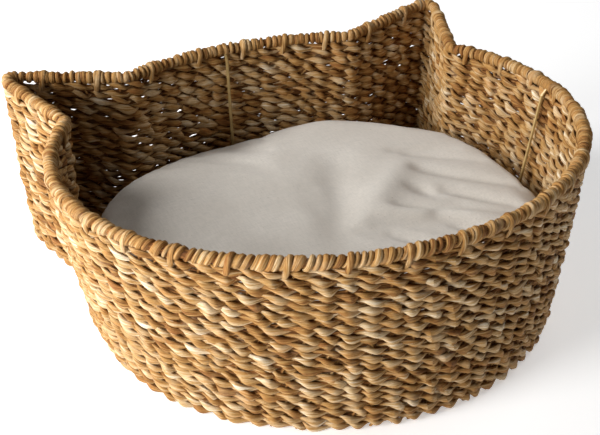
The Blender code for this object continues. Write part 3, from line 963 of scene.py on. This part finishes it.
# %% Model the empty bag
top_low, top_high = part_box("cushion_cover_top")
under_low, under_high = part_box("cushion_cover_bottom")
CUSHION_MIDDLE = ((top_low[0] + top_high[0]) / 2, (top_low[1] + top_high[1]) / 2)
CUSHION_HALF = ((top_high[0] - top_low[0]) / 2, (top_high[1] - top_low[1]) / 2)
SEAM_HEIGHT = (top_low[2] + under_high[2]) / 2
CROWN, UNDERSIDE = top_high[2], under_low[2]
FULLNESS = 3.6  # 2 is an oval's profile, more is squarer
PLAN_FULLNESS = 2.45  # the same, for the outline seen from above
START_WIDER, START_LOWER = 0.004, 0.028  # filling draws the sides in and lifts the crown
BACK_WIDER = 0.010  # pushed against the back wall
BAG_VOXEL = 0.005
print("cushion half sizes", [round(half, 3) for half in CUSHION_HALF], "crown at", round(CROWN, 3))


def empty_bag():
    deselect()
    bpy.ops.mesh.primitive_uv_sphere_add(segments=64, ring_count=32, radius=1.0)
    bag = bpy.context.object
    bag.name = "cushion"
    points = vertices_of(bag.data)
    flat = np.hypot(points[:, 0], points[:, 1])
    fuller = (flat ** FULLNESS + np.abs(points[:, 2]) ** FULLNESS) ** (-1.0 / FULLNESS)
    points *= fuller[:, None]
    around = np.arctan2(points[:, 1], points[:, 0])
    plan = np.abs(np.cos(around)) ** PLAN_FULLNESS + np.abs(np.sin(around)) ** PLAN_FULLNESS
    points[:, :2] *= plan[:, None] ** (-1.0 / PLAN_FULLNESS)
    upper, lower = CROWN - SEAM_HEIGHT - START_LOWER, SEAM_HEIGHT - UNDERSIDE
    points[:, 2] *= np.where(points[:, 2] > 0.0, upper, lower)
    points[:, 0] *= CUSHION_HALF[0] + START_WIDER
    points[:, 1] *= CUSHION_HALF[1] + START_WIDER + BACK_WIDER * (points[:, 1] > 0.0)
    points += (*CUSHION_MIDDLE, SEAM_HEIGHT)
    bag.data.vertices.foreach_set("co", points.ravel())
    remesh = bag.modifiers.new("even_mesh", "REMESH")
    remesh.mode, remesh.voxel_size = "VOXEL", BAG_VOXEL
    bpy.ops.object.modifier_apply(modifier=remesh.name)
    return bag


cushion = empty_bag()
print("empty bag:", len(cushion.data.vertices), "vertices")

# %% Press in the creases
FADE_UNDER = 0.02  # creases fade out this far above the seam
# Each crease: where it starts, where it ends, half its width and its depth, in metres. A negative
# depth is a ridge.
CREASES = [
    ((0.112, 0.018), (0.185, -0.040), 0.007, 0.009),
    ((0.116, -0.028), (0.162, -0.070), 0.007, 0.0095),
    ((0.084, -0.070), (0.122, -0.124), 0.007, 0.0085),
    ((0.049, -0.048), (0.160, -0.108), 0.011, -0.007),
    ((0.090, -0.014), (0.103, -0.030), 0.008, 0.0075),
    ((0.046, 0.066), (-0.014, -0.070), 0.019, 0.0065),
    ((0.019, -0.050), (0.098, 0.026), 0.016, -0.0055),
    ((0.034, -0.078), (0.060, -0.116), 0.007, 0.0065),
    ((0.120, 0.050), (0.178, 0.018), 0.007, 0.006),
    ((0.108, 0.062), (0.168, 0.046), 0.006, 0.005),
    ((0.060, -0.040), (0.092, -0.058), 0.006, 0.005),
]


def press_creases(points):
    """Lower the top of the cushion along each crease, most in its middle."""
    drop = np.zeros(len(points))
    for start, end, half_width, depth in CREASES:
        start, end = np.array(start), np.array(end)
        along = end - start
        place = np.clip((points[:, :2] - start) @ along / (along @ along), 0.0, 1.0)
        away = np.linalg.norm(points[:, :2] - start - place[:, None] * along, axis=1)
        fade = 0.55 + 0.45 * np.sin(np.pi * place)
        drop += depth * fade * np.exp(-(away / half_width) ** 2)
    points[:, 2] -= drop * np.clip((points[:, 2] - SEAM_HEIGHT) / FADE_UNDER, 0.0, 1.0)
    return points


def write_points(obj, points):
    obj.data.vertices.foreach_set("co", points.ravel())
    obj.data.update()


write_points(cushion, press_creases(vertices_of(cushion.data)))
print("creases pressed:", len(CREASES))

# %% Fill it
FILL_PRESSURE = 1.2
FILL_FRAMES = 20
MOST_MOVE = 0.012  # a point moves no further than this
RESTING_ON = 0.004  # the lowest part stays where it rests on the floor
EXTRA_CLOTH = 0.04  # the right half of the cover is a little too big
LOOSE_FROM, LOOSE_OVER = -0.02, 0.10  # where that slack begins, and over how far it grows


def add_group(obj, name, weights):
    group = obj.vertex_groups.new(name=name)
    for index in np.nonzero(weights > 0.001)[0]:
        group.add([int(index)], float(weights[index]), "REPLACE")


def fill(bag):
    before = vertices_of(bag.data)
    add_group(bag, "resting", (before[:, 2] < UNDERSIDE + RESTING_ON).astype(float))
    loose = np.clip((before[:, 0] - LOOSE_FROM) / LOOSE_OVER, 0.0, 1.0) * (before[:, 2] > SEAM_HEIGHT)
    add_group(bag, "tight", 1.0 - loose)
    cloth = bag.modifiers.new("filling", "CLOTH")
    settings = cloth.settings
    settings.quality = 6
    settings.mass = 0.3
    settings.tension_stiffness = settings.compression_stiffness = 15.0
    settings.shear_stiffness, settings.bending_stiffness = 8.0, 1.0
    settings.use_pressure, settings.uniform_pressure_force = True, FILL_PRESSURE
    settings.vertex_group_mass = "resting"
    settings.vertex_group_shrink = "tight"
    settings.shrink_min, settings.shrink_max = -EXTRA_CLOTH, 0.0
    settings.effector_weights.gravity = 0.0
    cloth.point_cache.frame_start, cloth.point_cache.frame_end = 1, FILL_FRAMES
    for number in range(1, FILL_FRAMES + 1):
        bpy.context.scene.frame_set(number)
    only(bag)
    bpy.ops.object.modifier_apply(modifier=cloth.name)
    bpy.context.scene.frame_set(1)
    move = vertices_of(bag.data) - before
    length = np.linalg.norm(move, axis=1)
    move *= (np.minimum(length, MOST_MOVE) / np.maximum(length, 1e-9))[:, None]
    after = before + move
    after[:, 2] = np.maximum(after[:, 2], UNDERSIDE)
    write_points(bag, after)
    print("filled: moved up to", round(float(length.max()) * 1000, 1), "mm")


fill(cushion)

# %% Smooth its faces once more
only(cushion)
finer = cushion.modifiers.new("finer", "SUBSURF")
finer.levels = finer.render_levels = 1
bpy.ops.object.modifier_apply(modifier=finer.name)
bpy.ops.object.shade_smooth()
cushion.vertex_groups.clear()
corner_low = vertices_of(cushion.data).min(0)
corner_high = vertices_of(cushion.data).max(0)
print("cushion spans", (corner_high - corner_low).round(3).tolist(), "top", round(corner_high[2], 3))

# %% [markdown]
# ## Cotton
# The cover is unbleached cotton: a plain weave too fine to model, with uneven threads, tiny brown
# specks of seed husk and a soft sheen of loose fibre. Two fine noises, each stretched along one
# direction of thread, make the weave.

# %% The cotton material
THREADS = 700.0  # scale of the weave
STRETCH = 0.15  # how slowly it changes along a thread
COTTON_STOPS = [(0.3, (0.585, 0.536, 0.474)), (0.7, (0.665, 0.618, 0.556))]
THREAD_SHADE = (0.48, 0.45, 0.40)
HUSK_BROWN = (0.22, 0.16, 0.10)


def cotton_material():
    g = Graph("unbleached_cotton")
    cloth_place = g.object_place()
    along_x = g.add("ShaderNodeMapping", None, Vector=cloth_place, Scale=(STRETCH, 1.0, 1.0))
    along_y = g.add("ShaderNodeMapping", None, Vector=cloth_place, Scale=(1.0, STRETCH, 1.0))
    weave = g.noise(along_x, THREADS, detail=1.0) * 0.5 + g.noise(along_y, THREADS, detail=1.0) * 0.5
    cloudy = g.noise(cloth_place, 14.0, detail=3.0)
    specks = g.noise(cloth_place, 560.0, detail=1.0)
    husk = g.add("ShaderNodeMapRange", None, Value=specks, From_Min=0.73, From_Max=0.80)
    base = g.ramp(cloudy, COTTON_STOPS)
    threaded = g.blend(((weave - 0.35) * 1.6).clamped(), base, THREAD_SHADE)
    colour = g.blend(husk * 0.5, threaded, HUSK_BROWN)
    slubs = g.noise(cloth_place, 60.0, detail=2.0)
    normal = g.bump(weave * 0.5 + slubs * 0.5, 0.6, 0.0006)
    return g.finish(Base_Color=colour, Roughness=0.88 - slubs * 0.1, Normal=normal,
                    Sheen_Weight=0.25, Sheen_Roughness=0.5, Specular_IOR_Level=0.25)


cotton = cotton_material()
cushion.data.materials.clear()
cushion.data.materials.append(cotton)
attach(cushion, "cushion")
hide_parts("cushion_cover_top", "cushion_cover_bottom", "cushion_filling")
print("cushion covered with", cotton.name)

# %% [markdown]
# ## Light, floor and camera
# The basket stands on a plain pale floor. A low, broad lamp on the left rakes across the weave, makes
# the near left side pale, reaches over the rim to the inside of the right wall, and leaves the left
# wall's inside in brown shade. A smaller lamp behind it lights the cushion, a weak one high on the
# right softens the shade, and the floor itself glows a little, as a lit white studio floor does.

# %% Lamps
LOOK_AT = Vector((0.0, 0.0, 0.08))
LAMP_DISTANCE = 2.2


def aimed(name, data, target, distance, azimuth, elevation):
    """A lamp or camera that looks at `target`; azimuth 0 is in front of the basket, -90 on its left."""
    azimuth, elevation = math.radians(azimuth), math.radians(elevation)
    towards = Vector((math.sin(azimuth) * math.cos(elevation), -math.cos(azimuth) * math.cos(elevation),
                      math.sin(elevation)))
    obj = bpy.data.objects.new(name, data)
    bpy.context.collection.objects.link(obj)
    obj.location = target + towards * distance
    obj.rotation_euler = (-towards).to_track_quat("-Z", "Y").to_euler()
    return obj


def add_lamp(name, azimuth, elevation, size, power):
    """A soft round lamp."""
    data = bpy.data.lights.new(name, "AREA")
    data.shape, data.size, data.energy = "DISK", size, power
    aimed(name, data, LOOK_AT, LAMP_DISTANCE, azimuth, elevation)


add_lamp("low_left", azimuth=-80, elevation=14, size=1.2, power=78.0)
add_lamp("high_left_back", azimuth=-120, elevation=38, size=0.9, power=32.0)
add_lamp("overhead", azimuth=90, elevation=62, size=1.2, power=12.0)

# %% Floor and surroundings
WHITE = (1.0, 1.0, 1.0, 1.0)
world = bpy.data.worlds.new("studio")
world.use_nodes = True
background = world.node_tree.nodes["Background"]
background.inputs["Color"].default_value = WHITE
background.inputs["Strength"].default_value = 0.035
bpy.context.scene.world = world

deselect()
bpy.ops.mesh.primitive_plane_add(size=8.0)
floor = bpy.context.object
floor.name = "studio_floor"
pale = Graph("studio_pale")
floor.data.materials.append(pale.finish(Base_Color=(0.9, 0.9, 0.9, 1.0), Roughness=0.9,
                                        Emission_Color=WHITE, Emission_Strength=0.42))
print("lamps and floor placed")

# %% Camera
AIM = Vector((-0.0942, -0.1571, 0.1904))
camera_data = bpy.data.cameras.new("camera")
camera_data.sensor_width = 36.0
camera_data.lens = 81.0
camera = aimed("camera", camera_data, AIM, 1.080, azimuth=-24.68, elevation=30.74)
bpy.context.scene.camera = camera
bpy.context.scene.view_settings.view_transform = "Standard"
print("camera at", [round(value, 3) for value in camera.location])
